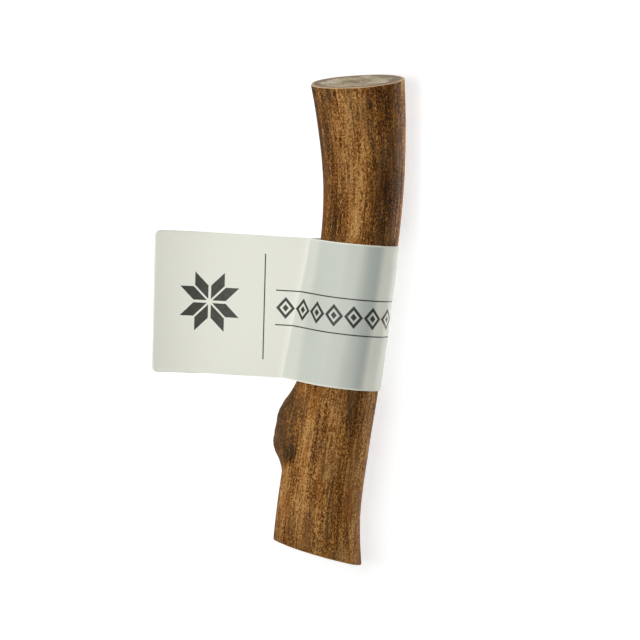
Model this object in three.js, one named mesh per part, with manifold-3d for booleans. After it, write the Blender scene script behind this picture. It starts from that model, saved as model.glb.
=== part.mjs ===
// Reindeer antler chew: a sawn length of antler beam that lies on its flatter back, with a paper
// strip drawn tight round its waist and stuck to itself, so that its two ends stand out as a flag.
// Millimetres. +Z is up, +Y runs along the beam to its wider sawn end, and the flag points to -X.
// The origin lies on the ground, under the middle of the whole object.

import * as THREE from "three";
import { mergeVertices } from "three/addons/utils/BufferGeometryUtils.js";
import Module from "manifold-3d";

// Beam: its sideways bow and half width, at stations evenly spaced from +BEAM_REACH to -BEAM_REACH.
const BEAM_REACH = 84;
const BEAM_BOW = [23.3, 25.6, 26.4, 24.7, 21.5, 18.3, 14.9, 12.2, 11.8];
const BEAM_HALF_WIDTH = [15.4, 13.8, 12.5, 12.1, 12.7, 13.0, 13.2, 13.4, 14.6];
const DEPTH_SHARE = 0.8; // depth of the beam over its width
const FRONT_POWER = 2; // section's superellipse power on the rounded front
const BACK_POWER = 2.2; // the same on the flatter back, which it lies on
const ARCH_RISE = 1.6; // how far the back stands off the ground at the waist
const ARCH_REACH = 62; // distance from the middle at which the back meets the ground

// Flutes: shallow lengthwise ribs round the beam, which wander a little along it.
const FLUTE_DEPTH = 0.18;
const FLUTE_COUNTS = [5, 8];
const FLUTE_WANDER = 0.02; // radians per millimetre

// Bud: the stump of a side tine, low on the beam's left and a little to the back.
const BUD_HEIGHT = 4.3;
const BUD_ANGLE = THREE.MathUtils.degToRad(190);
const BUD_SPREAD = 0.62; // radians
const BUD_TOP = [-17.6, -29.5]; // where it starts to rise, and where it is full
const BUD_FOOT = [-48, -37.5];

// Saw cuts: a point on each, its slope across the beam and its lean towards +Z, in degrees.
const TOP_CUT = { y: 74.6, slope: 3.7, lean: 9 };
const FOOT_CUT = { y: -73, slope: -16.3, lean: 3 };
const SAW_SIZE = 90;

// Paper strip: its loop sits proud of the beam, and its ends are stuck back to back as the flag.
const PAPER = 0.2;
const PAPER_GAP = 0.6; // between the beam's smooth outline and the paper
const LOOP_Y = [-20, 24.5]; // lower and upper edge, on the beam's middle line
const LOOP_SLOPE = [7.3, 5]; // degrees, at the lower and upper edge
const CROTCH_REACH = [4.4, 2.7]; // from the beam to where the two ends meet, lower and upper edge
const FLAG_TIP_X = [-39.6, -38.5]; // lower and upper corner
const FLAG_TIP_Y = [-15.7, 28.5];
const FLAG_SAG = 1.8; // how far it hangs on its way out
const FLAG_LIFT = 2; // how far its tip curls up
const SAG_PEAK = 4 / 27; // the most that the sag's curve, out ** 2 * (1 - out), reaches
const FLAG_CORNER = 1.6;
const FLAG_OVERLAP = 0.35; // how far the flag runs into the loop it grows from
const LOOP_PAST = 0.02; // how far the loop's inside is cut past its edges, as a share of its height
const LEVEL_PASSES = 4; // rounds that settle a point of the loop on its sloping level

// Mesh fineness, as segments round and along.
const BEAM_MESH = [44, 46];
const STRIP_ROWS = 12;
const LOOP_MESH = [44, STRIP_ROWS];
const FLAG_MESH = [9, STRIP_ROWS];
const MERGE_DISTANCE = 1e-4;

const { lerp, smoothstep, clamp, degToRad } = THREE.MathUtils;
const wasm = await Module();
wasm.setup();

const stationSpacing = (2 * BEAM_REACH) / (BEAM_BOW.length - 1);
const beamLine = new THREE.CatmullRomCurve3(
  BEAM_BOW.map((bow, i) => new THREE.Vector3(bow, BEAM_REACH - i * stationSpacing, BEAM_HALF_WIDTH[i])),
  false,
  "catmullrom",
);

// The beam's section at a distance along it: centre, half width and half depth.
function sectionAt(y) {
  const { x, z: halfWidth } = beamLine.getPoint(clamp((BEAM_REACH - y) / (2 * BEAM_REACH), 0, 1));
  const halfDepth = halfWidth * DEPTH_SHARE;
  const arch = ARCH_RISE * (1 - smoothstep(Math.abs(y), 0, ARCH_REACH));
  return { x, z: halfDepth + arch, halfWidth, halfDepth };
}

// A point of the section's oval at an angle from +X towards +Z, as shares of its half sizes.
function ovalShare(angle) {
  const power = 2 / (Math.sin(angle) > 0 ? FRONT_POWER : BACK_POWER);
  const bend = (value) => Math.sign(value) * Math.abs(value) ** power;
  return [bend(Math.cos(angle)), bend(Math.sin(angle))];
}

// Outward growth of the beam's surface over its smooth oval: the flutes and the bud.
function growthAt(angle, y) {
  const onSides = Math.max(0, 1 + Math.sin(angle)); // the back, which it lies on, stays plain
  const flutes = FLUTE_COUNTS.map((count, i) => Math.sin(count * angle + (i + 1) * FLUTE_WANDER * y));
  const flute = (FLUTE_DEPTH * Math.min(1, onSides) * (flutes[0] + flutes[1])) / 2;
  const turn = Math.atan2(Math.sin(angle - BUD_ANGLE), Math.cos(angle - BUD_ANGLE));
  const along = smoothstep(-y, -BUD_TOP[0], -BUD_TOP[1]) * smoothstep(y, ...BUD_FOOT);
  return flute + BUD_HEIGHT * along * Math.exp(-((turn / BUD_SPREAD) ** 2));
}

function beamPoint(angle, y, share) {
  const section = sectionAt(y);
  const [across, deep] = ovalShare(angle);
  const growth = growthAt(angle, y);
  return new THREE.Vector3(
    section.x + share * (section.halfWidth * across + growth * Math.cos(angle)),
    y,
    section.z + share * (section.halfDepth * deep + growth * Math.sin(angle)),
  );
}

// Where the paper loop crosses the beam at a share of its height, from lower edge to upper edge.
function loopLevel(rise) {
  const y = lerp(...LOOP_Y, rise);
  return { x: sectionAt(y).x, y, slope: Math.tan(degToRad(lerp(...LOOP_SLOPE, rise))) };
}

// A point of the loop, on its own sloping level, from an offset that depends on the section there.
function loopPointFrom(rise, offsetIn) {
  const level = loopLevel(rise);
  const point = new THREE.Vector3(level.x, level.y, 0);
  for (let pass = 0; pass < LEVEL_PASSES; pass += 1) {
    const section = sectionAt(point.y);
    const [across, up] = offsetIn(section);
    point.set(section.x + across, level.y - (section.x + across - level.x) * level.slope, section.z + up);
  }
  return point;
}

// The point beside the beam where the strip's two ends meet.
function crotchPoint(rise, gap) {
  const reach = lerp(...CROTCH_REACH, rise);
  return loopPointFrom(rise, (section) => [-(section.halfWidth + gap + reach), 0]);
}

// The loop round the beam. Its turn runs from -1 to 1: both ends are the crotch, and between them
// the paper leaves the oval along its tangents.
function loopPoint(turn, rise, gap) {
  const step = 2 / LOOP_MESH[0];
  if (1 - Math.abs(turn) < step / 2) return crotchPoint(rise, gap);
  return loopPointFrom(rise, (section) => {
    const halfWidth = section.halfWidth + gap;
    const tangent = Math.acos(-halfWidth / (halfWidth + lerp(...CROTCH_REACH, rise)));
    const [across, deep] = ovalShare((turn / (1 - step)) * tangent);
    return [halfWidth * across, (section.halfDepth + gap) * deep];
  });
}

// The flag, from the crotch to its rounded tip.
function flagPoint(out, rise, side) {
  const crotch = crotchPoint(rise, PAPER_GAP);
  const tip = new THREE.Vector2(lerp(...FLAG_TIP_X, rise), lerp(...FLAG_TIP_Y, rise));
  const fromEdge = Math.min(rise, 1 - rise) * (FLAG_TIP_Y[1] - FLAG_TIP_Y[0]);
  const intoCorner = Math.max(0, FLAG_CORNER - fromEdge);
  tip.x += FLAG_CORNER - Math.sqrt(FLAG_CORNER ** 2 - intoCorner ** 2);
  crotch.x += FLAG_OVERLAP;
  const curl = FLAG_LIFT * out ** 3 - (FLAG_SAG / SAG_PEAK) * out ** 2 * (1 - out);
  return new THREE.Vector3(
    lerp(crotch.x, tip.x, out),
    lerp(crotch.y, tip.y, out),
    crotch.z + curl + side * PAPER,
  );
}

// Moves every vertex of a geometry to where a rule puts it.
function reshape(geometry, rule) {
  const position = geometry.attributes.position;
  const vertex = new THREE.Vector3();
  for (let i = 0; i < position.count; i += 1) {
    position.setXYZ(i, ...rule(vertex.fromBufferAttribute(position, i)).toArray());
  }
  return geometry;
}

function solidFrom(geometry) {
  geometry.deleteAttribute("normal");
  geometry.deleteAttribute("uv");
  const { attributes, index } = mergeVertices(geometry, MERGE_DISTANCE);
  return new wasm.Manifold(
    new wasm.Mesh({ numProp: 3, vertProperties: attributes.position.array, triVerts: index.array }),
  );
}

function meshFrom(name, solid, material) {
  const { vertProperties, triVerts } = solid.getMesh();
  const geometry = new THREE.BufferGeometry();
  geometry.setAttribute("position", new THREE.BufferAttribute(vertProperties, 3));
  geometry.setIndex(new THREE.BufferAttribute(triVerts, 1));
  geometry.computeVertexNormals();
  const mesh = new THREE.Mesh(geometry, material);
  mesh.name = name;
  return mesh;
}

// A block whose near face is a saw cut: everything beyond the cut, along the beam.
function sawBlock(cut) {
  const block = new THREE.BoxGeometry(SAW_SIZE, SAW_SIZE, SAW_SIZE);
  const outward = Math.sign(cut.y);
  block.translate(0, (outward * SAW_SIZE) / 2, 0);
  block.rotateX(outward * degToRad(cut.lean));
  block.rotateZ(degToRad(cut.slope));
  const section = sectionAt(cut.y);
  block.translate(section.x, cut.y, section.z);
  return solidFrom(block);
}

function antlerSolid() {
  const blank = new THREE.CylinderGeometry(1, 1, 2, ...BEAM_MESH);
  reshape(blank, ({ x, y, z }) => beamPoint(Math.atan2(z, x), y * BEAM_REACH, Math.hypot(x, z)));
  return solidFrom(blank).subtract(sawBlock(TOP_CUT)).subtract(sawBlock(FOOT_CUT));
}

// The strip's rows lie closer together near its edges, where the flag's corners are rounded.
function rowRise(y) {
  return (1 + Math.sin(Math.PI * y)) / 2;
}

// The space inside the loop at a gap from the beam, run past its edges by a share of its height.
function loopSolid(gap, past) {
  const core = new THREE.CylinderGeometry(1, 1, 1, ...LOOP_MESH);
  reshape(core, ({ x, y, z }) => {
    const rise = lerp(-past, 1 + past, rowRise(y));
    if (Math.hypot(x, z) < 0.5) return loopPointFrom(rise, () => [0, 0]);
    return loopPoint(Math.atan2(z, x) / Math.PI, rise, gap);
  });
  return solidFrom(core);
}

function labelSolid() {
  const flag = new THREE.BoxGeometry(1, 1, 2, ...FLAG_MESH, 1);
  reshape(flag, ({ x, y, z }) => flagPoint(0.5 - x, rowRise(y), z));
  const loop = loopSolid(PAPER_GAP + PAPER, 0).subtract(loopSolid(PAPER_GAP, LOOP_PAST));
  return loop.add(solidFrom(flag));
}

const antlerFinish = new THREE.MeshStandardMaterial({ color: 0x7a5530, roughness: 0.62, metalness: 0 });
const paperFinish = new THREE.MeshStandardMaterial({ color: 0xe2e4d8, roughness: 0.5, metalness: 0 });

const chew = new THREE.Group();
chew.add(meshFrom("antler", antlerSolid(), antlerFinish));
chew.add(meshFrom("label", labelSolid(), paperFinish));

export default chew;
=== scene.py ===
"""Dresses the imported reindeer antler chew: the antler's grain and colour, its paper label, floor and light.

Sizes are in millimetres and angles in degrees, unless a name says otherwise. Meshes are in metres.
The beam lies along Y with its wider sawn end at +Y, and the label's flag points to -X.
"""

import logging
import math
from dataclasses import dataclass, field
from enum import Enum
from typing import Any

import bpy
import numpy as np
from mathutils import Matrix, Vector


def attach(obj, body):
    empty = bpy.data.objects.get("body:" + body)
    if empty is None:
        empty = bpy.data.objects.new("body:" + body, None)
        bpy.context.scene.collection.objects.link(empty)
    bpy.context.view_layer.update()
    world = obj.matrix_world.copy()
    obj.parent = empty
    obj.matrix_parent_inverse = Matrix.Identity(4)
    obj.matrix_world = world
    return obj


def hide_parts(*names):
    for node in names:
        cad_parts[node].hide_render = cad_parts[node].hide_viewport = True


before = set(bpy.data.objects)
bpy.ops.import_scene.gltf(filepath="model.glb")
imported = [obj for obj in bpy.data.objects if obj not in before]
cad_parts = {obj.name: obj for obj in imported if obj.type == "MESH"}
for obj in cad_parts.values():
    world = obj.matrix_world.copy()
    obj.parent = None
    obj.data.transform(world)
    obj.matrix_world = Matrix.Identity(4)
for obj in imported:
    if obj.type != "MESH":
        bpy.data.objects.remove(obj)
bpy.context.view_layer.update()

LOG = logging.getLogger("antler_chew")
BODY = "root"
MM = 0.001
SETTLING_PASSES = 8
PORES = 1.5  # pores of the spongy core, per millimetre
PORE_RADIUS = 0.43  # as a share of the distance between pores
PORE_SLOPE = 0.2  # width of a pore's sloping edge, as the same share
PITS = 0.16  # small pits of the bark, per millimetre
PIT_RADIUS = 0.075  # as a share of the distance between pits
PIT_SLOPE = 0.055  # width of a pit's sloping edge, as the same share
PIT_STRETCH = (1.0, 0.6, 1.0)

Colour = tuple[float, float, float, float]
Triple = tuple[float, float, float]
Value = Any  # a node socket to link from, or a plain number, colour or vector to set


class Skin(Enum):
    """The antler's two surfaces, in the order of its material slots."""

    BARK = 0
    SAWN = 1


def from_srgb(red: int, green: int, blue: int) -> Colour:
    """Turn an 8-bit sRGB colour into a linear one.

    Args:
        red: Red, 0 to 255.
        green: Green, 0 to 255.
        blue: Blue, 0 to 255.

    Returns:
        Linear red, green and blue, and an alpha of 1.
    """
    shares = (channel / 255 for channel in (red, green, blue))
    linear = [s / 12.92 if s <= 0.04045 else ((s + 0.055) / 1.055) ** 2.4 for s in shares]
    return (*linear, 1.0)


def smooth_step(value: np.ndarray, low: float, high: float) -> np.ndarray:
    """Rise smoothly from 0 at low to 1 at high."""
    share = np.clip((value - low) / (high - low), 0, 1)
    return share * share * (3 - 2 * share)


class NodeMaker:
    """Adds nodes to one tree. A value may be a socket, which is linked, or a plain one, which is set."""

    def __init__(self, tree: bpy.types.NodeTree) -> None:
        """Work on a tree."""
        self.tree = tree

    def feed(self, socket: bpy.types.NodeSocket, value: Value) -> None:
        """Link a socket to an input, or set the input's own value.

        Args:
            socket: The input.
            value: The socket to link from, or the value to set.
        """
        if isinstance(value, bpy.types.NodeSocket):
            self.tree.links.new(value, socket)
        else:
            socket.default_value = value

    def add(self, kind: str, inputs: dict[Any, Value] | None = None, **settings: Any) -> bpy.types.Node:
        """Add a node.

        Args:
            kind: The node's Blender type name.
            inputs: Values by the input's name or number.
            **settings: The node's own properties.

        Returns:
            The new node.
        """
        node = self.tree.nodes.new(kind)
        for name, setting in settings.items():
            setattr(node, name, setting)
        for key, value in (inputs or {}).items():
            self.feed(node.inputs[key], value)
        return node

    def math(self, operation: str, *values: Value) -> bpy.types.NodeSocket:
        """Add a Math node and return its result."""
        return self.add("ShaderNodeMath", dict(enumerate(values)), operation=operation).outputs[0]

    def total(self, *terms: Value) -> bpy.types.NodeSocket:
        """Add up any number of values.

        Args:
            *terms: The values.

        Returns:
            Their sum.
        """
        result = terms[0]
        for term in terms[1:]:
            result = self.math("ADD", result, term)
        return result

    def weighted(self, base: float, *terms: tuple[bpy.types.NodeSocket, float]) -> bpy.types.NodeSocket:
        """Add to a base value the distance of each socket from one half, times its weight.

        Args:
            base: The base value.
            *terms: Each socket with its weight.

        Returns:
            The sum.
        """
        result: Value = base
        for socket, weight in terms:
            result = self.math("MULTIPLY_ADD", self.math("SUBTRACT", socket, 0.5), weight, result)
        return result

    def smooth(self, value: Value, low: Value, high: Value) -> bpy.types.NodeSocket:
        """Rise smoothly from 0 at low to 1 at high; low may be above high."""
        inputs = {"Value": value, "From Min": low, "From Max": high}
        return self.add("ShaderNodeMapRange", inputs, interpolation_type="SMOOTHSTEP").outputs[0]

    def band(self, value: Value, centre: float, half: float, soft: float) -> bpy.types.NodeSocket:
        """Be 1 within half of a centre and fall to 0 over a soft edge."""
        away = self.math("ABSOLUTE", self.math("SUBTRACT", value, centre))
        return self.smooth(away, half + soft, half)

    def grain(self, vector: Value, scale: float, stretch: float, seed: float) -> tuple[Value, Value]:
        """Place the group of fine grain.

        Args:
            vector: Where to read the grain.
            scale: Specks per unit of the vector.
            stretch: Share by which the grain is drawn out along Y.
            seed: Place along the fourth dimension.

        Returns:
            The speckle and the fibres.
        """
        inputs = {"Vector": vector, "Scale": scale, "Stretch": stretch, "Seed": seed}
        placed = self.add("ShaderNodeGroup", node_tree=fine_grain())
        for name, value in inputs.items():
            self.feed(placed.inputs[name], value)
        return placed.outputs["Speckle"], placed.outputs["Fibre"]

    def stretched(self, vector: Value, shares: Triple) -> bpy.types.NodeSocket:
        """Multiply a vector by three shares."""
        return self.add("ShaderNodeVectorMath", {0: vector, 1: shares}, operation="MULTIPLY").outputs[0]

    def noise(
        self, vector: Value, scale: Value, detail: float = 2, roughness: float = 0.5, seed: Value = 0.0
    ) -> bpy.types.NodeSocket:
        """Add a seeded Noise Texture.

        Args:
            vector: Where to read the noise.
            scale: Features per unit of the vector.
            detail: Octaves.
            roughness: Share of each octave in the next.
            seed: Place along the fourth dimension.

        Returns:
            The noise, about one half on average.
        """
        inputs = {"Vector": vector, "W": seed, "Scale": scale, "Detail": detail, "Roughness": roughness}
        return self.add("ShaderNodeTexNoise", inputs, noise_dimensions="4D").outputs[0]

    def holes(self, vector: Value, spacing: float, radius: Value, slope: float) -> bpy.types.NodeSocket:
        """Scatter round holes.

        Args:
            vector: Where to read them.
            spacing: Holes per unit of the vector.
            radius: A hole's radius, as a share of the distance between holes.
            slope: Width of its sloping edge, as the same share.

        Returns:
            A mask that is 1 at the holes' middles.
        """
        cells = self.add("ShaderNodeTexVoronoi", {"Vector": vector, "Scale": spacing})
        return self.smooth(cells.outputs["Distance"], radius, self.math("SUBTRACT", radius, slope))

    def blend(self, share: Value, first: Value, second: Value, mode: str = "MIX") -> bpy.types.NodeSocket:
        """Mix two colours and return the result."""
        inputs = {0: share, 6: first, 7: second}
        return self.add("ShaderNodeMix", inputs, data_type="RGBA", blend_type=mode).outputs[2]

    def ramp(self, share: Value, stops: tuple[tuple[float, Colour], ...]) -> bpy.types.NodeSocket:
        """Read a colour from a ramp.

        Args:
            share: Place on the ramp, from 0 to 1.
            stops: The ramp's places with their colours.

        Returns:
            The colour.
        """
        node = self.add("ShaderNodeValToRGB", {0: share})
        elements = node.color_ramp.elements
        while len(elements) < len(stops):
            elements.new(1.0)
        for element, (place, colour) in zip(elements, stops):
            element.position = place
            element.color = colour
        return node.outputs[0]

    def pits(self, vector: Value) -> bpy.types.NodeSocket:
        """Scatter the bark's small pits over millimetre coordinates."""
        return self.holes(self.stretched(vector, PIT_STRETCH), PITS, PIT_RADIUS, PIT_SLOPE)

    def attribute(self, name: str, output: str) -> bpy.types.NodeSocket:
        """Read a piece's own attribute in a material."""
        return self.add("ShaderNodeAttribute", attribute_name=name).outputs[output]

    def parts(self, vector: Value) -> tuple[bpy.types.NodeSocket, ...]:
        """Split a vector in three."""
        return tuple(self.add("ShaderNodeSeparateXYZ", {0: vector}).outputs)


def fine_grain() -> bpy.types.NodeTree:
    """Find or build the shader group of fine speckle and soft fibres that every surface uses.

    Returns:
        The group. Its Stretch is the share by which the pattern is drawn out along Y.
    """
    name = "fine_grain"
    if name in bpy.data.node_groups:
        return bpy.data.node_groups[name]
    tree = bpy.data.node_groups.new(name, "ShaderNodeTree")
    tree.interface.new_socket("Vector", in_out="INPUT", socket_type="NodeSocketVector")
    for size in ("Scale", "Stretch", "Seed"):
        tree.interface.new_socket(size, in_out="INPUT", socket_type="NodeSocketFloat")
    for mask in ("Speckle", "Fibre"):
        tree.interface.new_socket(mask, in_out="OUTPUT", socket_type="NodeSocketFloat")
    make = NodeMaker(tree)
    given = make.add("NodeGroupInput").outputs
    x, y, z = make.parts(given["Vector"])
    drawn = {"X": x, "Y": make.math("MULTIPLY", y, given["Stretch"]), "Z": z}
    vector = make.add("ShaderNodeCombineXYZ", drawn).outputs[0]
    speckle = make.noise(vector, given["Scale"], 2, 0.6, given["Seed"])
    half_scale = make.math("MULTIPLY", given["Scale"], 0.55)
    fibre = make.noise(make.stretched(vector, (1, 0.16, 1)), half_scale, 3, 0.55, given["Seed"])
    make.add("NodeGroupOutput", {"Speckle": speckle, "Fibre": fibre})
    return tree


def new_material(name: str) -> tuple[bpy.types.Material, NodeMaker, bpy.types.Node]:
    """Make a material with an empty Principled BSDF.

    Args:
        name: The material's name.

    Returns:
        The material, a maker for its nodes, and its shader.
    """
    material = bpy.data.materials.new(name)
    material.use_nodes = True
    maker = NodeMaker(material.node_tree)
    return material, maker, material.node_tree.nodes["Principled BSDF"]


def mesh_object(
    name: str, points: np.ndarray, faces: list[tuple[int, ...]], attributes: dict[str, np.ndarray]
) -> bpy.types.Object:
    """Make a smooth-shaded mesh object in the scene.

    Args:
        name: The object's name.
        points: Vertices in millimetres.
        faces: Vertex numbers of each face.
        attributes: Numbers or vectors for each vertex, by name.

    Returns:
        The new object.
    """
    mesh = bpy.data.meshes.new(name)
    mesh.from_pydata((points * MM).tolist(), [], faces)
    mesh.shade_smooth()
    for key, values in attributes.items():
        kind, slot = ("FLOAT_VECTOR", "vector") if values.ndim == 2 else ("FLOAT", "value")
        layer = mesh.attributes.new(key, kind, "POINT")
        layer.data.foreach_set(slot, np.ascontiguousarray(values, np.float32).ravel())
    piece = bpy.data.objects.new(name, mesh)
    bpy.context.scene.collection.objects.link(piece)
    return piece


def place_piece(piece: bpy.types.Object, node: str) -> None:
    """Let a piece stand for a CAD node, on the only body.

    Args:
        piece: The finished piece.
        node: The node that it replaces.
    """
    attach(piece, BODY)
    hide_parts(node)
    LOG.info("%s: %d faces, in place of %s", piece.name, len(piece.data.polygons), node)


@dataclass(frozen=True)
class SawCut:
    """A flat saw cut through the beam's middle line, with its slope across and its lean towards +Z."""

    y: float
    slope: float
    lean: float

    @property
    def normal(self) -> np.ndarray:
        """The cut's outward normal.

        Returns:
            A vector of length 1.
        """
        slope, lean = math.radians(self.slope), math.radians(self.lean)
        outward = math.copysign(math.cos(lean), self.y)
        return np.array([-outward * math.sin(slope), outward * math.cos(slope), math.sin(lean)])


@dataclass(frozen=True)
class BarkFinish:
    """The antler's grown surface: speckled brown with soft lengthwise bands and a darker right side, partly
    real stain and partly painted shade, with painted shade on the bud's crown and in the pits and hollow, and
    a painted highlight along the shoulder beside the bud.
    """

    deep: Colour = from_srgb(40, 23, 8)
    dark: Colour = from_srgb(82, 49, 16)
    brown: Colour = from_srgb(130, 83, 32)
    tan: Colour = from_srgb(161, 114, 57)
    pale: Colour = from_srgb(196, 152, 96)
    rust: Colour = from_srgb(142, 84, 30)
    grey: Colour = from_srgb(106, 84, 56)
    roughness: float = 0.72
    specular: float = 0.1
    middle_tone: float = 0.61
    speckle_share: float = 2.3
    fibre_share: float = 1.2
    band_share: float = 0.8
    patch_share: float = 0.5
    # Darkness of the stain and painted shade on the right side and left edge.
    stain_and_shade_depth: float = 0.3
    bud_depth: float = 0.2
    # Painted shade on the bud's crown, at the beam's left edge.
    crown_shade_depth: float = 0.2
    # Painted highlight along the shoulder beside the bud.
    ridge_highlight_lift: float = 0.1
    # Painted shade in the bark's pits and in the hollow beside the bud.
    dent_shade_depth: float = 0.35
    rust_share: float = 0.35
    grey_share: float = 0.32
    bump_strength: float = 0.35
    bump_height: float = 0.2

    def stain_and_shade(self, make: NodeMaker, across: Value, along: Value, wander: Value) -> bpy.types.NodeSocket:
        """Find how dark the beam is stained and shaded: right of its middle, and at its left, most in the
        upper half; this darkness is partly real stain and partly painted shade.

        Args:
            make: Maker for the material's nodes.
            across: Place across the beam, from -1 at its left to 1 at its right.
            along: Distance along the beam.
            wander: How far the stain's edges wander.

        Returns:
            The stain and painted shade, from 0 to 1.
        """
        place = make.math("ADD", across, wander)
        upper = make.smooth(along, -60.0, 10.0)
        far = make.math("MULTIPLY_ADD", upper, 0.4, 0.45)
        right = make.math(
            "MULTIPLY",
            make.math("MULTIPLY", make.smooth(place, 0.0, 0.3), make.math("MULTIPLY_ADD", upper, 0.5, 0.5)),
            make.smooth(place, make.math("ADD", far, 0.2), far),
        )
        left = make.math(
            "MULTIPLY", make.smooth(place, -0.15, -0.65), make.math("MULTIPLY_ADD", upper, 0.6, 0.25)
        )
        return make.math("ADD", right, left)

    def material(self, girth: float) -> bpy.types.Material:
        """Build the material.

        Args:
            girth: The radius of the straightened beam that the pattern is laid on.

        Returns:
            The material.
        """
        material, make, shader = new_material("antler_bark")
        straight = make.attribute("straight", "Vector")
        raised = make.attribute("bud", "Fac")
        bud = make.smooth(raised, 0.04, 0.3)
        # Painted shade: the bud's crown, at the beam's left edge, is darkened.
        crown_shade = make.smooth(raised, 0.55, 0.95)
        # Painted highlight: a lighter line along the bud's fringe, on the beam's shoulder.
        ridge_highlight = make.math("MULTIPLY", make.smooth(raised, 0.002, 0.02), make.smooth(raised, 0.1, 0.02))
        speckle, fibre = make.grain(straight, 3.0, 0.5, 7.7)
        band = make.noise(make.stretched(straight, (1, 0.05, 1)), 0.33, 2, 0.5, 1.3)
        patch = make.noise(make.stretched(straight, (1, 0.4, 1)), 0.13, 2, 0.5, 2.9)
        bud = make.math("MULTIPLY", bud, make.math("MULTIPLY_ADD", make.smooth(patch, 0.62, 0.4), 0.6, 0.4))
        # Painted shade: the pits and the hollow beside the bud are darkened.
        dent_shade = make.math("MAXIMUM", make.pits(straight), make.attribute("hollow", "Fac"))
        across, along, _ = make.parts(straight)
        wander = make.weighted(0.0, (band, 0.45), (patch, 0.45))
        # Partly real stain, partly painted shade: darker right of the middle and at the left edge.
        stain_and_shade = self.stain_and_shade(make, make.math("DIVIDE", across, girth), along, wander)
        tone = make.weighted(
            self.middle_tone,
            (speckle, self.speckle_share),
            (fibre, self.fibre_share),
            (band, self.band_share),
            (patch, self.patch_share),
        )
        for mask, change in (
            (stain_and_shade, -self.stain_and_shade_depth),
            (bud, -self.bud_depth),
            (crown_shade, -self.crown_shade_depth),
            (ridge_highlight, self.ridge_highlight_lift),
            (dent_shade, -self.dent_shade_depth),
        ):
            tone = make.math("MULTIPLY_ADD", mask, change, tone)
        colour = make.ramp(
            tone,
            (
                (0.08, self.deep),
                (0.3, self.dark),
                (0.52, self.brown),
                (0.7, self.tan),
                (1.0, self.pale),
            ),
        )
        redness = make.noise(make.stretched(straight, (1, 0.2, 1)), 0.3, 2, 0.5, 9.2)
        rusty = make.smooth(redness, 0.48, 0.7)
        colour = make.blend(make.math("MULTIPLY", rusty, self.rust_share), colour, self.rust)
        weathering = make.noise(make.stretched(straight, (1, 0.25, 1)), 0.26, 3, 0.55, 4.4)
        weathered = make.math("MAXIMUM", make.smooth(weathering, 0.46, 0.68), bud)
        colour = make.blend(make.math("MULTIPLY", weathered, self.grey_share), colour, self.grey)
        make.feed(shader.inputs["Base Color"], colour)
        make.feed(shader.inputs["Roughness"], make.weighted(self.roughness, (speckle, -0.3), (band, 0.2)))
        shader.inputs["Specular IOR Level"].default_value = self.specular
        height = make.weighted(0.0, (fibre, 0.5), (speckle, 1.0))
        bump_inputs = {"Strength": self.bump_strength, "Distance": self.bump_height * MM, "Height": height}
        bump = make.add("ShaderNodeBump", bump_inputs)
        make.feed(shader.inputs["Normal"], bump.outputs[0])
        return material


@dataclass(frozen=True)
class SawnFinish:
    """A sawn face: a pale spongy core with open pores coloured dark as painted shade, a grey-brown compact
    ring and a thin tan rim that is a painted highlight on the rounded edge.
    """

    core: Colour = from_srgb(230, 214, 186)
    core_shade: Colour = from_srgb(196, 178, 142)
    # Painted shade inside the pores' holes.
    pore: Colour = from_srgb(74, 58, 38)
    ring: Colour = from_srgb(172, 152, 128)
    ring_shade: Colour = from_srgb(138, 118, 96)
    # Painted highlight along the face's rounded edge.
    rim: Colour = from_srgb(222, 188, 148)
    saw_shade: Colour = (0.75, 0.75, 0.75, 1.0)
    roughness: float = 0.75
    specular: float = 0.2
    core_share: float = 0.76
    rim_highlight_share: float = 0.945
    bump_strength: float = 0.4
    bump_height: float = 0.15

    def material(self) -> bpy.types.Material:
        """Build the material.

        Returns:
            The material.
        """
        material, make, shader = new_material("antler_sawn")
        straight = make.attribute("straight", "Vector")
        share = make.attribute("share", "Fac")
        cloud = make.noise(straight, 0.22, 3, 0.55, 3.3)
        speckle, _ = make.grain(straight, 1.8, 1.0, 5.5)
        saw = make.noise(make.stretched(straight, (0.15, 1, 1)), 2.2, 2, 0.5, 6.6)
        edge = make.weighted(0.0, (cloud, 0.5), (speckle, 0.12))
        in_core = make.smooth(make.math("ADD", share, edge), self.core_share + 0.03, self.core_share - 0.03)
        # Painted highlight: a pale band round the face's rounded edge.
        in_rim_highlight = make.smooth(share, self.rim_highlight_share - 0.03, self.rim_highlight_share + 0.02)
        middle = make.smooth(share, 0.65, 0.1)
        core_shade = make.math("MAXIMUM", make.smooth(cloud, 0.38, 0.6), middle)
        core = make.blend(core_shade, self.core, self.core_shade)
        size = make.weighted(PORE_RADIUS, (cloud, 0.6), (speckle, 0.5), (middle, 0.14))
        pores = make.holes(straight, PORES, size, PORE_SLOPE)
        # Painted shade: the pores' holes are coloured dark.
        core = make.blend(make.math("MULTIPLY", pores, 0.9), core, self.pore)
        ring = make.blend(make.smooth(speckle, 0.35, 0.65), self.ring_shade, self.ring)
        colour = make.blend(in_core, ring, core)
        colour = make.blend(in_rim_highlight, colour, self.rim)
        sawing = make.ramp(saw, ((0.3, self.saw_shade), (0.7, (1.0, 1.0, 1.0, 1.0))))
        make.feed(shader.inputs["Base Color"], make.blend(1.0, colour, sawing, "MULTIPLY"))
        make.feed(shader.inputs["Roughness"], make.weighted(self.roughness, (speckle, 0.4)))
        shader.inputs["Specular IOR Level"].default_value = self.specular
        height = make.math("MULTIPLY_ADD", make.math("MULTIPLY", pores, in_core), -1.0, saw)
        bump_inputs = {"Strength": self.bump_strength, "Distance": self.bump_height * MM, "Height": height}
        bump = make.add("ShaderNodeBump", bump_inputs)
        make.feed(shader.inputs["Normal"], bump.outputs[0])
        return material


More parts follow.
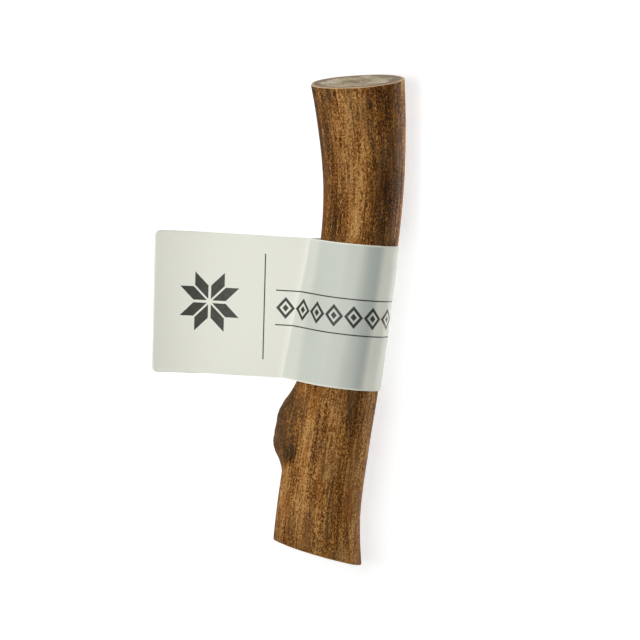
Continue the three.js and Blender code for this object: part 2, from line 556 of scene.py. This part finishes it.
@dataclass
class Antler:
    """A sawn length of antler beam, bowed sideways, with the stump of a side tine low on its left."""

    reach: float = 84.0
    bow: tuple[float, ...] = (23.3, 25.6, 26.4, 24.7, 21.5, 18.3, 14.9, 12.2, 11.8)
    half_width: tuple[float, ...] = (15.4, 13.8, 12.5, 12.1, 12.7, 13.0, 13.2, 13.4, 14.6)
    depth_share: float = 0.8
    front_power: float = 2.0
    back_power: float = 2.2
    arch_rise: float = 1.6
    arch_reach: float = 62.0
    flute_depth: float = 0.18
    flute_counts: tuple[int, int] = (5, 8)
    flute_wander: float = 0.02
    bud_height: float = 4.3
    bud_angle: float = 190.0
    bud_spread: float = 0.62
    bud_top: tuple[float, float] = (-17.6, -29.5)
    bud_foot: tuple[float, float] = (-48.0, -37.5)
    hollow_angle: float = 146.0
    hollow_y: float = -41.0
    hollow_size: tuple[float, float] = (1.8, 3.2)
    hollow_depth: float = 0.9
    top_cut: SawCut = SawCut(y=74.6, slope=3.7, lean=9.0)
    foot_cut: SawCut = SawCut(y=-73.0, slope=-16.3, lean=3.0)
    edge_radius: float = 0.35
    girth: float = 12.5
    columns: int = 224
    side_rows: int = 340
    face_rings: int = 48
    edge_rows: int = 3
    relief: dict[str, float] = field(
        default_factory=lambda: {
            "Rib Depth": 0.22,
            "Groove Depth": 0.12,
            "Fleck Depth": 0.06,
            "Pit Depth": 0.35,
            "Lump Depth": 1.1,
            "Pore Depth": 0.28,
            "Seed": 2.0,
        }
    )
    bark: BarkFinish = BarkFinish()
    sawn: SawnFinish = SawnFinish()

    def along(self, values: tuple[float, ...], y: np.ndarray) -> np.ndarray:
        """Read values given at evenly spaced stations, on a smooth curve through them.

        Args:
            values: The values from the top station to the lowest.
            y: Distances along the beam.

        Returns:
            The value at each distance.
        """
        known = np.array([2 * values[0] - values[1], *values, 2 * values[-1] - values[-2]])
        place = np.clip((self.reach - y) / (2 * self.reach), 0, 1) * (len(values) - 1)
        first = np.minimum(place.astype(int), len(values) - 2)
        share = place - first
        before, start, end, after = (known[first + step] for step in range(4))
        leave, arrive = (end - before) / 2, (after - start) / 2
        square = -3 * start + 3 * end - 2 * leave - arrive
        cube = 2 * start - 2 * end + leave + arrive
        return start + share * (leave + share * (square + share * cube))

    def section(self, y: np.ndarray) -> tuple[np.ndarray, ...]:
        """Find the beam's section at distances along it.

        Args:
            y: Distances along the beam.

        Returns:
            Centre x, centre z, half width and half depth.
        """
        half_width = self.along(self.half_width, y)
        half_depth = half_width * self.depth_share
        arch = self.arch_rise * (1 - smooth_step(np.abs(y), 0, self.arch_reach))
        return self.along(self.bow, y), half_depth + arch, half_width, half_depth

    def oval(self, angle: np.ndarray) -> tuple[np.ndarray, np.ndarray]:
        """Find points of the section's oval.

        Args:
            angle: Angles from +X to +Z.

        Returns:
            Distances across and up, as shares of the section's half sizes.
        """
        across, deep = np.cos(angle), np.sin(angle)
        power = 2 / np.where(deep > 0, self.front_power, self.back_power)
        return np.sign(across) * np.abs(across) ** power, np.sign(deep) * np.abs(deep) ** power

    def bud(self, angle: np.ndarray, y: np.ndarray) -> np.ndarray:
        """Find how far the bud has grown.

        Args:
            angle: Angles round the beam.
            y: Distances along it.

        Returns:
            The growth, from 0 to 1.
        """
        middle = math.radians(self.bud_angle)
        turn = np.arctan2(np.sin(angle - middle), np.cos(angle - middle))
        rise = smooth_step(-y, -self.bud_top[0], -self.bud_top[1]) * smooth_step(y, *self.bud_foot)
        return rise * np.exp(-((turn / self.bud_spread) ** 2))

    def hollow(self, angle: np.ndarray, y: np.ndarray) -> np.ndarray:
        """Find how deep the small hollow beside the bud's foot is.

        Args:
            angle: Angles round the beam.
            y: Distances along it.

        Returns:
            The depth, from 0 to 1.
        """
        middle = math.radians(self.hollow_angle)
        across = self.girth * np.arctan2(np.sin(angle - middle), np.cos(angle - middle))
        along = y - self.hollow_y
        return np.exp(-((across / self.hollow_size[0]) ** 2) - (along / self.hollow_size[1]) ** 2)

    def growth(self, angle: np.ndarray, y: np.ndarray) -> np.ndarray:
        """Find how far the surface stands out from its smooth oval: the flutes, the bud and its hollow.

        Args:
            angle: Angles round the beam.
            y: Distances along it.

        Returns:
            The distance outwards.
        """
        on_sides = np.clip(1 + np.sin(angle), 0, 1)
        flutes = sum(
            np.sin(count * angle + (number + 1) * self.flute_wander * y)
            for number, count in enumerate(self.flute_counts)
        )
        bud = self.bud_height * self.bud(angle, y) - self.hollow_depth * self.hollow(angle, y)
        return self.flute_depth * on_sides * flutes / 2 + bud

    def surface(self, angle: np.ndarray, y: np.ndarray, share: np.ndarray) -> np.ndarray:
        """Find points of the beam.

        Args:
            angle: Angles round the beam, in radians from +X to +Z.
            y: Distances along it.
            share: Shares of the way from the middle line to the surface.

        Returns:
            Points, with x, y and z on the last axis.
        """
        x, z, half_width, half_depth = self.section(y)
        across, deep = self.oval(angle)
        growth = self.growth(angle, y)
        return np.stack(
            [
                x + share * (half_width * across + growth * np.cos(angle)),
                y + 0 * share,
                z + share * (half_depth * deep + growth * np.sin(angle)),
            ],
            axis=-1,
        )

    def level_below(self, cut: SawCut, angle: np.ndarray, share: np.ndarray, depth: float) -> np.ndarray:
        """Find the distance along the beam at which it lies below a saw cut.

        Args:
            cut: The saw cut.
            angle: Angles round the beam.
            share: Shares of the way from the middle line to the surface.
            depth: Depth below the cut.

        Returns:
            The distance along the beam at each angle.
        """
        x, z, _, _ = self.section(np.array(cut.y))
        normal = cut.normal
        y = np.full_like(angle, cut.y)
        for _ in range(SETTLING_PASSES):
            point = self.surface(angle, y, share)
            lean = normal[0] * (point[..., 0] - x) + normal[2] * (point[..., 2] - z)
            y = cut.y - (depth + lean) / normal[1]
        return y

    def face_rows(self, cut: SawCut, angle: np.ndarray) -> list[tuple[np.ndarray, np.ndarray, bool]]:
        """Lay out a sawn face and its rounded edge, from the rings at its middle to the side.

        Args:
            cut: The saw cut.
            angle: Angles round the beam.

        Returns:
            Rows of (distance along the beam, share of the radius, whether it is sawn).
        """
        rows = []
        inset = self.edge_radius / self.girth
        for ring in range(1, self.face_rings + 1):
            share = np.full_like(angle, (1 - inset) * ring / self.face_rings)
            rows.append((self.level_below(cut, angle, share, 0.0), share, True))
        for step in range(1, self.edge_rows + 1):
            turn = math.pi / 2 * step / self.edge_rows
            share = np.full_like(angle, 1 - inset * (1 - math.sin(turn)))
            depth = self.edge_radius * (1 - math.cos(turn))
            rows.append((self.level_below(cut, angle, share, depth), share, step < self.edge_rows))
        return rows

    def grid(self) -> bpy.types.Object:
        """Build the beam's closed mesh, with the attributes that its relief and finishes read.

        Returns:
            The beam before its relief.
        """
        angle = -math.pi / 2 + 2 * math.pi * np.arange(self.columns) / self.columns
        foot, top = self.face_rows(self.foot_cut, angle), self.face_rows(self.top_cut, angle)
        whole = np.ones_like(angle)
        side = [
            (foot[-1][0] + (top[-1][0] - foot[-1][0]) * row / self.side_rows, whole, False)
            for row in range(1, self.side_rows)
        ]
        rows = foot + side + top[::-1]
        y, share = np.array([row[0] for row in rows]), np.array([row[1] for row in rows])
        sawn = np.repeat([float(row[2]) for row in rows], self.columns)
        turned = np.broadcast_to(angle, y.shape)
        ends = [
            self.level_below(cut, np.zeros(1), np.zeros(1), 0.0) for cut in (self.foot_cut, self.top_cut)
        ]
        y_all = np.concatenate([ends[0], y.ravel(), ends[1]])
        share_all = np.concatenate([[0.0], share.ravel(), [0.0]])
        angle_all = np.concatenate([[0.0], turned.ravel(), [0.0]])
        around = self.girth * share_all
        straight = np.stack([around * np.cos(angle_all), y_all, around * np.sin(angle_all)], axis=-1)
        attributes = {
            "straight": straight,
            "share": share_all,
            "sawn": np.concatenate([[1.0], sawn, [1.0]]),
            "bud": self.bud(angle_all, y_all) * share_all,
            "hollow": self.hollow(angle_all, y_all) * share_all,
        }
        points = self.surface(angle_all, y_all, share_all)
        return mesh_object("antler_beam", points, self.grid_faces(len(rows)), attributes)

    def grid_faces(self, rows: int) -> list[tuple[int, ...]]:
        """List the faces of rings of vertices that close to a point at both ends.

        Args:
            rows: Number of rings.

        Returns:
            Vertex numbers of each face.
        """
        ring = np.arange(self.columns)
        following = (ring + 1) % self.columns
        last = 1 + (rows - 1) * self.columns
        faces = [(0, 1 + int(a), 1 + int(b)) for a, b in zip(ring, following)]
        for row in range(rows - 1):
            low, high = 1 + row * self.columns, 1 + (row + 1) * self.columns
            faces += [
                (int(low + a), int(high + a), int(high + b), int(low + b)) for a, b in zip(ring, following)
            ]
        end = last + self.columns
        return faces + [(end, int(last + b), int(last + a)) for a, b in zip(ring, following)]

    def relief_tree(self) -> bpy.types.NodeTree:
        """Build the Geometry Nodes tree that raises ribs and lumps, cuts grooves and pits and opens pores.

        Returns:
            The tree, with an input for each depth, for the seed and for each skin's material.
        """
        tree = bpy.data.node_groups.new("antler_relief", "GeometryNodeTree")
        tree.interface.new_socket("Geometry", in_out="INPUT", socket_type="NodeSocketGeometry")
        for name in self.relief:
            tree.interface.new_socket(name, in_out="INPUT", socket_type="NodeSocketFloat")
        for skin in Skin:
            tree.interface.new_socket(skin.name.title(), in_out="INPUT", socket_type="NodeSocketMaterial")
        tree.interface.new_socket("Geometry", in_out="OUTPUT", socket_type="NodeSocketGeometry")
        make = NodeMaker(tree)
        given = make.add("NodeGroupInput").outputs

        def named(name: str, data_type: str) -> bpy.types.NodeSocket:
            """Read one of the beam's attributes."""
            node = make.add("GeometryNodeInputNamedAttribute", {"Name": name}, data_type=data_type)
            return node.outputs["Attribute"]

        straight = named("straight", "FLOAT_VECTOR")
        sawn, share = named("sawn", "FLOAT"), named("share", "FLOAT")
        rib = make.noise(make.stretched(straight, (1, 0.05, 1)), 0.3, 2, 0.5, given["Seed"])
        groove = make.noise(make.stretched(straight, (1, 0.04, 1)), 1.0, 2, 0.5, given["Seed"])
        groove = make.smooth(make.math("ABSOLUTE", make.math("SUBTRACT", groove, 0.5)), 0.05, 0.0)
        fleck = make.noise(make.stretched(straight, (1, 0.5, 1)), 1.1, 2, 0.5, given["Seed"])
        lump = make.math("SUBTRACT", make.noise(straight, 0.4, 3, 0.55, given["Seed"]), 0.5)
        pore = make.holes(straight, PORES, PORE_RADIUS, PORE_SLOPE)
        pore = make.math("MULTIPLY", pore, make.smooth(share, 0.78, 0.68))
        bark = make.total(
            make.math("MULTIPLY", make.math("SUBTRACT", rib, 0.5), given["Rib Depth"]),
            make.math("MULTIPLY", groove, make.math("MULTIPLY", given["Groove Depth"], -1.0)),
            make.math("MULTIPLY", make.math("SUBTRACT", fleck, 0.5), given["Fleck Depth"]),
            make.math("MULTIPLY", make.pits(straight), make.math("MULTIPLY", given["Pit Depth"], -1.0)),
            make.math("MULTIPLY", lump, make.math("MULTIPLY", named("bud", "FLOAT"), given["Lump Depth"])),
        )
        bark = make.math("MULTIPLY", bark, make.math("SUBTRACT", 1.0, sawn))
        cut = make.math("MULTIPLY", make.math("MULTIPLY", pore, given["Pore Depth"]), sawn)
        height = make.math("MULTIPLY", make.math("SUBTRACT", bark, cut), MM)
        normal = make.add("GeometryNodeInputNormal").outputs[0]
        offset = make.add("ShaderNodeVectorMath", {0: normal, "Scale": height}, operation="SCALE")
        moved = make.add(
            "GeometryNodeSetPosition", {"Geometry": given["Geometry"], "Offset": offset.outputs[0]}
        )
        whole = make.add("GeometryNodeRealizeInstances", {"Geometry": moved.outputs[0]})
        barked = make.add(
            "GeometryNodeSetMaterial", {"Geometry": whole.outputs[0], "Material": given["Bark"]}
        )
        cut_faces = make.add("FunctionNodeCompare", {0: sawn, 1: 0.6}, operation="GREATER_THAN").outputs[0]
        dressed = make.add(
            "GeometryNodeSetMaterial",
            {"Geometry": barked.outputs[0], "Selection": cut_faces, "Material": given["Sawn"]},
        )
        make.add("NodeGroupOutput", {"Geometry": dressed.outputs[0]})
        return tree

    def build(self) -> bpy.types.Object:
        """Build the beam, raise its relief and dress it.

        Returns:
            The finished piece.
        """
        blank = self.grid()
        tree = self.relief_tree()
        modifier = blank.modifiers.new("relief", "NODES")
        modifier.node_group = tree
        values: dict[str, Any] = dict(self.relief)
        values["Bark"] = self.bark.material(self.girth)
        values["Sawn"] = self.sawn.material()
        for item in tree.interface.items_tree:
            if item.in_out == "INPUT" and item.name in values:
                modifier[item.identifier] = values[item.name]
        bpy.context.view_layer.update()
        graph = bpy.context.evaluated_depsgraph_get()
        mesh = bpy.data.meshes.new_from_object(blank.evaluated_get(graph), depsgraph=graph)
        blank.modifiers.remove(modifier)
        plain = blank.data
        blank.data = mesh
        bpy.data.meshes.remove(plain)
        place_piece(blank, "antler")
        return blank


@dataclass(frozen=True)
class PaperFinish:
    """Smooth cream paper, darker on the antler where one layer lets the brown show through and by painted
    shade, with a woven-band ornament.
    """

    cream: Colour = from_srgb(235, 236, 223)
    # Show-through and painted shade: the paper's colour where it lies on the antler.
    on_antler_shaded: Colour = from_srgb(181, 189, 182)
    ink: Colour = from_srgb(42, 42, 35)
    roughness: float = 0.5
    specular: float = 0.3
    rule_place: float = 35.0
    rule_span: tuple[float, float] = (5.5, 38.5)
    rule_half: float = 0.16
    star_centre: tuple[float, float] = (17.8, 22.6)
    star_petal: float = 4.6
    star_gap: float = 0.45
    band_start: float = 38.6
    band_end: float = 82.0
    band_middle: float = 22.0
    band_pitch: float = 6.2
    band_half: float = 3.6
    band_rule: float = 5.4
    ink_edge: float = 0.07
    bump_strength: float = 0.12
    bump_height: float = 0.05

    def ink_mask(self, make: NodeMaker, u: Value, v: Value) -> bpy.types.NodeSocket:
        """Draw the ornament: an eight-petalled star, an upright rule and a band of lozenges.

        Args:
            make: Maker for the material's nodes.
            u: Distance along the strip from the flag's tip.
            v: Distance up the strip from its lower edge.

        Returns:
            A mask that is 1 where there is ink.
        """
        soft = self.ink_edge
        rule = make.math(
            "MULTIPLY",
            make.band(u, self.rule_place, self.rule_half, soft),
            make.band(v, sum(self.rule_span) / 2, (self.rule_span[1] - self.rule_span[0]) / 2, soft),
        )
        right = make.math("ABSOLUTE", make.math("SUBTRACT", u, self.star_centre[0]))
        up = make.math("ABSOLUTE", make.math("SUBTRACT", v, self.star_centre[1]))
        long_side, short_side = make.math("MAXIMUM", right, up), make.math("MINIMUM", right, up)
        half = (self.star_petal - self.star_gap) / 2
        petal_middle = self.star_gap + half
        star = make.math(
            "MULTIPLY",
            make.band(short_side, petal_middle, half, soft),
            make.band(make.math("SUBTRACT", long_side, short_side), petal_middle, half, soft),
        )
        from_middle = make.math("ABSOLUTE", make.math("SUBTRACT", v, self.band_middle))
        step = make.math("PINGPONG", make.math("SUBTRACT", u, self.band_start), self.band_pitch / 2)
        reach = make.math(
            "ADD",
            make.math("DIVIDE", make.math("SUBTRACT", self.band_pitch / 2, step), self.band_pitch / 2),
            make.math("DIVIDE", from_middle, self.band_half),
        )
        lozenge = make.math("SUBTRACT", make.smooth(reach, 0.98, 0.94), make.smooth(reach, 0.62, 0.58))
        lozenge = make.math("ADD", lozenge, make.smooth(reach, 0.34, 0.3))
        edges = make.band(from_middle, self.band_rule, self.rule_half, soft)
        middle, width = (self.band_start + self.band_end) / 2, (self.band_end - self.band_start) / 2
        band = make.math("MULTIPLY", make.math("ADD", lozenge, edges), make.band(u, middle, width, soft))
        return make.math("MINIMUM", make.total(rule, star, band), 1.0)

    def material(self) -> bpy.types.Material:
        """Build the material.

        Returns:
            The material.
        """
        material, make, shader = new_material("label_paper")
        u, v, side = make.parts(make.attribute("strip", "Vector"))
        wrap = make.attribute("wrap", "Fac")
        coords = make.add("ShaderNodeTexCoord").outputs["Object"]
        pulp, _ = make.grain(coords, 900.0, 1.0, 1.7)
        cloud = make.noise(coords, 60.0, 2, 0.5, 8.3)
        # Darker on the antler, partly where the brown shows through and partly painted shade.
        paper = make.blend(wrap, self.cream, self.on_antler_shaded)
        shading = make.weighted(0.5, (pulp, 0.5), (cloud, 0.6))
        shade = make.ramp(shading, ((0.0, (0.93, 0.93, 0.92, 1)), (1.0, (1, 1, 1, 1))))
        paper = make.blend(1.0, paper, shade, "MULTIPLY")
        printed = make.math("MULTIPLY", self.ink_mask(make, u, v), make.math("GREATER_THAN", side, 0.5))
        cover = make.math("MULTIPLY", printed, make.weighted(0.97, (pulp, 0.06)))
        make.feed(shader.inputs["Base Color"], make.blend(cover, paper, self.ink))
        make.feed(shader.inputs["Roughness"], make.weighted(self.roughness, (cloud, 0.2), (pulp, 0.2)))
        shader.inputs["Specular IOR Level"].default_value = self.specular
        bump_inputs = {"Strength": self.bump_strength, "Distance": self.bump_height * MM, "Height": pulp}
        bump = make.add("ShaderNodeBump", bump_inputs)
        make.feed(shader.inputs["Normal"], bump.outputs[0])
        return material


@dataclass
class Label:
    """A paper strip drawn tight round the beam's waist, with its two ends stuck together as a flag."""

    beam: Antler
    paper: float = 0.2
    gap: float = 0.42
    loop_y: tuple[float, float] = (-20.0, 24.5)
    loop_slope: tuple[float, float] = (7.3, 5.0)
    crotch_reach: tuple[float, float] = (4.4, 2.7)
    tip_x: tuple[float, float] = (-39.6, -38.5)
    tip_y: tuple[float, float] = (-15.7, 28.5)
    sag: float = 1.8
    sag_peak: float = 4 / 27
    lift: float = 2.0
    corner: float = 1.6
    glue: float = 0.02
    ripple_count: int = 13
    ripple_depth: float = 0.07
    rows: int = 52
    leaf_columns: int = 90
    climb_columns: int = 26
    loop_columns: int = 130
    bend_columns: int = 9
    bend_passes: int = 16
    # Painted shade where the paper climbs from the crotch to the beam.
    climb_shade: float = 0.35
    # Darkness on the beam's left side and back: partly show-through, partly painted shade.
    wrap_through_and_shade: float = 0.65
    # Angles of the painted shade band, darkest just right of the beam's top.
    darkest_shade_angles: tuple[float, float] = (80.0, 108.0)
    # Angles below which the paper stays cream as a painted highlight down the beam's right side; they turn by
    # the next number towards the strip's lower edge.
    right_highlight_angles: tuple[float, float] = (56.0, 75.0)
    right_highlight_turn: float = 9.0
    # Shares of the climb over which its painted shade rises to that of the wrap.
    climb_shade_rise: tuple[float, float] = (0.4, 0.75)
    # Distances from the strip's edges over which their cream painted highlight fades out.
    edge_highlight: tuple[float, float] = (0.15, 0.55)
    finish: PaperFinish = PaperFinish()

    def on_level(self, rise: float, offsets: Any, count: int) -> np.ndarray:
        """Settle points of the loop on their sloping level.

        Args:
            rise: Share of the strip's height.
            offsets: Function from the section there to distances across and up from its centre.
            count: Number of points.

        Returns:
            The points.
        """
        height = float(np.interp(rise, (0, 1), self.loop_y))
        middle = float(self.beam.section(np.array(height))[0])
        slope = math.tan(math.radians(float(np.interp(rise, (0, 1), self.loop_slope))))
        y = np.full(count, height)
        for _ in range(SETTLING_PASSES):
            x, z, half_width, half_depth = self.beam.section(y)
            across, up = offsets(half_width + self.gap, half_depth + self.gap)
            y = height - (x + across - middle) * slope
        return np.stack([x + across, y, z + up], axis=-1)

    def row(self, rise: float) -> tuple[np.ndarray, np.ndarray, np.ndarray]:
        """Lay out one row of the strip, from the front leaf's tip round the beam to the back leaf's tip.

        Args:
            rise: Share of the strip's height.

        Returns:
            The row's points, each point's distance along the strip, and its share of show-through and painted
            shade.
        """
        reach = float(np.interp(rise, (0, 1), self.crotch_reach))
        turn = np.linspace(1, -1, self.loop_columns)

        def round_beam(half_width: np.ndarray, half_depth: np.ndarray) -> tuple[np.ndarray, np.ndarray]:
            """Follow the oval between the two points where the strip leaves it, with slight ripples.

            Args:
                half_width: Half widths of the loop.
                half_depth: Half depths of the loop.

            Returns:
                Distances across and up from the loop's centre.
            """
            angle = turn * np.arccos(-half_width / (half_width + reach))
            across, deep = self.beam.oval(angle)
            fade = 1 - turn**8
            ripple = self.ripple_depth * fade * np.sin(self.ripple_count * angle + 2 * rise)
            return half_width * across + ripple * np.cos(angle), half_depth * deep + ripple * np.sin(angle)

        loop = self.on_level(rise, round_beam, self.loop_columns)
        crotch = self.on_level(rise, lambda wide, deep: (-(wide + reach), 0 * deep), 1)[0]
        tip_x, tip_y = (np.interp(rise, (0, 1), ends) for ends in (self.tip_x, self.tip_y))
        tip = np.array([tip_x, tip_y, crotch[2]])
        from_edge = min(rise, 1 - rise) * (self.tip_y[1] - self.tip_y[0])
        into_corner = max(0.0, self.corner - from_edge)
        rounded = self.corner - math.sqrt(self.corner**2 - into_corner**2)
        tip[0] += rounded
        out = np.linspace(1, 0, self.leaf_columns)
        leaf = crotch + (tip - crotch) * out[:, None]
        leaf[:, 2] += self.lift * out**3 - self.sag / self.sag_peak * out**2 * (1 - out)
        apart = np.array([0, 0, (self.paper + self.glue) / 2])
        climb = np.linspace(0, 1, self.climb_columns + 2)[1:-1, None]
        path = np.concatenate(
            [
                leaf + apart,
                crotch + apart + (loop[0] - crotch - apart) * climb,
                loop,
                loop[-1] + (crotch - apart - loop[-1]) * climb,
                leaf[::-1] - apart,
            ]
        )
        path = self.bent(path)
        steps = np.linalg.norm(np.diff(path, axis=0), axis=1)
        return path, rounded + np.concatenate([[0], np.cumsum(steps)]), self.show_through_and_shade(climb[:, 0], rise)

    def show_through_and_shade(self, climb: np.ndarray, rise: float) -> np.ndarray:
        """Find how dark the paper is along a row: partly where the brown antler shows through, partly painted
        shade, with cream left for painted highlights.

        Args:
            climb: Shares of the way from the crotch to where the strip meets the beam.
            rise: Share of the strip's height.

        Returns:
            The share at each point of a row: none on the flag, none at the strip's edges and down the beam's
                right side where the cream is a painted highlight, painted shade on the climb, and most in a
                painted shade band just right of the beam's top.
        """
        angle = np.linspace(1, -1, self.loop_columns) * 180
        # Painted shade band, darkest just right of the beam's top.
        tight = smooth_step(-angle, *(-np.flip(self.darkest_shade_angles)))
        front = self.wrap_through_and_shade + (1 - self.wrap_through_and_shade) * tight
        # Painted highlight: the paper stays cream down the beam's right side.
        right_highlight_angles = np.array(self.right_highlight_angles) + self.right_highlight_turn * (1 - rise)
        back = self.wrap_through_and_shade * smooth_step(-angle, *right_highlight_angles)
        loop = front * smooth_step(angle, *right_highlight_angles) + back
        # Painted shade on the climb.
        risen = smooth_step(climb, *self.climb_shade_rise)
        climb_shading = self.climb_shade + (self.wrap_through_and_shade - self.climb_shade) * risen
        flag = np.zeros(self.leaf_columns)
        from_edge = min(rise, 1 - rise) * (self.tip_y[1] - self.tip_y[0])
        # Painted highlight: cream along the strip's edges.
        away_from_edge_highlight = smooth_step(from_edge, *self.edge_highlight)
        return away_from_edge_highlight * np.concatenate([flag, climb_shading, loop, climb_shading[::-1], flag])

    def bent(self, path: np.ndarray) -> np.ndarray:
        """Round the strip's two bends at the crotch, where paper can't fold sharply.

        Args:
            path: The points of a row.

        Returns:
            The same points, moved.
        """
        column = np.arange(len(path))
        bends = [self.leaf_columns - 0.5, len(path) - self.leaf_columns - 0.5]
        near = sum(smooth_step(-np.abs(column - bend), -self.bend_columns, 0) for bend in bends)
        for _ in range(self.bend_passes):
            middle = (path[:-2] + path[2:]) / 2
            path[1:-1] += 0.5 * near[1:-1, None] * (middle - path[1:-1])
        return path

    def build(self) -> bpy.types.Object:
        """Build the strip with its thickness and dress it.

        Returns:
            The finished piece.
        """
        rises = (1 - np.cos(math.pi * np.linspace(0, 1, self.rows))) / 2
        laid = [self.row(float(rise)) for rise in rises]
        points = np.array([row[0] for row in laid])
        distance = np.array([row[1] for row in laid])
        show_through_and_shade = np.array([row[2] for row in laid])
        height = np.broadcast_to((rises * (self.tip_y[1] - self.tip_y[0]))[:, None], distance.shape)
        along, up = np.gradient(points, axis=1), np.gradient(points, axis=0)
        normal = np.cross(along, up)
        normal /= np.linalg.norm(normal, axis=-1, keepdims=True)
        skins, strips = [], []
        for side in (1.0, -1.0):
            skins.append((points + normal * side * self.paper / 2).reshape(-1, 3))
            strip_place = np.stack([distance, height, np.full_like(distance, side)], axis=-1)
            strips.append(strip_place.reshape(-1, 3))
        # The wrap attribute carries the show-through, painted shade and painted highlights.
        attributes = {"strip": np.concatenate(strips), "wrap": np.concatenate([show_through_and_shade.ravel()] * 2)}
        faces = self.shell_faces(*distance.shape)
        strip = mesh_object("label_strip", np.concatenate(skins), faces, attributes)
        strip.data.materials.append(self.finish.material())
        LOG.info("strip lies flat at %.1f by %.1f mm", distance[self.rows // 2, -1], height[-1, 0])
        place_piece(strip, "label")
        return strip

    def shell_faces(self, rows: int, columns: int) -> list[tuple[int, ...]]:
        """List the faces of two equal grids, outer then inner, closed along their rims.

        Args:
            rows: Rows of each grid.
            columns: Points in a row.

        Returns:
            Vertex numbers of each face.
        """
        number = np.arange(rows * columns).reshape(rows, columns)
        quads = np.stack([number[:-1, :-1], number[:-1, 1:], number[1:, 1:], number[1:, :-1]], axis=-1)
        outer = quads.reshape(-1, 4)
        inner = outer[:, ::-1] + number.size
        rim = np.concatenate([number[0, :-1], number[:-1, -1], number[-1, :0:-1], number[:0:-1, 0]])
        following = np.roll(rim, -1)
        walls = np.stack([following, rim, rim + number.size, following + number.size], axis=-1)
        return np.concatenate([outer, inner, walls]).tolist()


@dataclass(frozen=True)
class SoftLight:
    """A rectangular soft light that faces a point."""

    name: str
    place: Triple
    target: Triple
    size: tuple[float, float]
    watts: float
    spread: float = 180.0

    def build(self) -> None:
        """Add the light to the scene."""
        lamp = bpy.data.lights.new(self.name, "AREA")
        lamp.shape = "RECTANGLE"
        lamp.size = self.size[0] * MM
        lamp.size_y = self.size[1] * MM
        lamp.spread = math.radians(self.spread)
        lamp.energy = self.watts
        holder = bpy.data.objects.new(self.name, lamp)
        holder.location = Vector(self.place) * MM
        aim = Vector(self.target) - Vector(self.place)
        holder.rotation_euler = aim.to_track_quat("-Z", "Y").to_euler()
        bpy.context.scene.collection.objects.link(holder)


@dataclass
class Studio:
    """The pale floor, the soft lights and the camera that looks down on the chew."""

    target: Triple = (12.86, 0.25, 11.0)
    distance: float = 900.0
    tilt: float = 5.0
    picture_width: float = 200.0
    sensor: float = 36.0
    floor_half: float = 2500.0
    floor_colour: Colour = (0.45, 0.45, 0.45, 1.0)
    floor_glow: float = 0.74
    sky: float = 0.15
    backdrop: float = 0.97
    lights: tuple[SoftLight, ...] = (
        SoftLight("key", (-185.0, 60.0, 425.0), (10.0, 0.0, 0.0), (300.0, 300.0), 1.9),
        SoftLight("rim", (66.0, 0.0, 200.0), (66.0, 0.0, 0.0), (18.0, 170.0), 0.24, 8.0),
    )

    def build(self) -> None:
        """Build the floor, the lights, the sky and the camera."""
        scene = bpy.context.scene
        scene.view_settings.view_transform = "Standard"
        self.floor()
        for light in self.lights:
            light.build()
        scene.world = self.surroundings()
        lens = bpy.data.cameras.new("camera")
        lens.sensor_width = self.sensor
        lens.lens = self.sensor * self.distance / self.picture_width
        camera = bpy.data.objects.new("camera", lens)
        tilt = math.radians(self.tilt)
        away = Vector((0, math.sin(tilt), math.cos(tilt)))
        camera.location = (Vector(self.target) + away * self.distance) * MM
        camera.rotation_euler = (-tilt, 0, 0)
        scene.collection.objects.link(camera)
        scene.camera = camera

    def surroundings(self) -> bpy.types.World:
        """Make a dim even sky that looks as pale as the floor behind the object.

        Returns:
            The world.
        """
        world = bpy.data.worlds.new("studio")
        world.use_nodes = True
        make = NodeMaker(world.node_tree)
        seen = make.add("ShaderNodeLightPath").outputs["Is Camera Ray"]
        strength = make.math("MULTIPLY_ADD", seen, self.backdrop - self.sky, self.sky)
        background = world.node_tree.nodes["Background"]
        background.inputs["Color"].default_value = (1, 1, 1, 1)
        make.feed(background.inputs["Strength"], strength)
        return world

    def floor(self) -> None:
        """Lay the floor, with a glow that keeps its shadows faint."""
        half = self.floor_half
        corners = np.array([(-half, -half, 0), (half, -half, 0), (half, half, 0), (-half, half, 0)], float)
        floor = mesh_object("floor", corners, [(0, 1, 2, 3)], {})
        material, make, shader = new_material("floor_paper")
        coords = make.add("ShaderNodeTexCoord").outputs["Object"]
        cloud = make.noise(coords, 8.0, 2, 0.5, 0.0)
        edge = tuple(channel * 0.985 for channel in self.floor_colour[:3])
        make.feed(shader.inputs["Base Color"], make.blend(cloud, self.floor_colour, (*edge, 1)))
        shader.inputs["Roughness"].default_value = 0.9
        shader.inputs["Specular IOR Level"].default_value = 0.0
        shader.inputs["Emission Color"].default_value = (1, 1, 1, 1)
        shader.inputs["Emission Strength"].default_value = self.floor_glow
        floor.data.materials.append(material)


def main() -> None:
    """Build the studio and the pieces in order."""
    logging.basicConfig(level=logging.INFO, format="%(name)s: %(message)s")
    Studio().build()
    antler = Antler()
    antler.build()
    Label(antler).build()


if __name__ == "__main__":
    main()
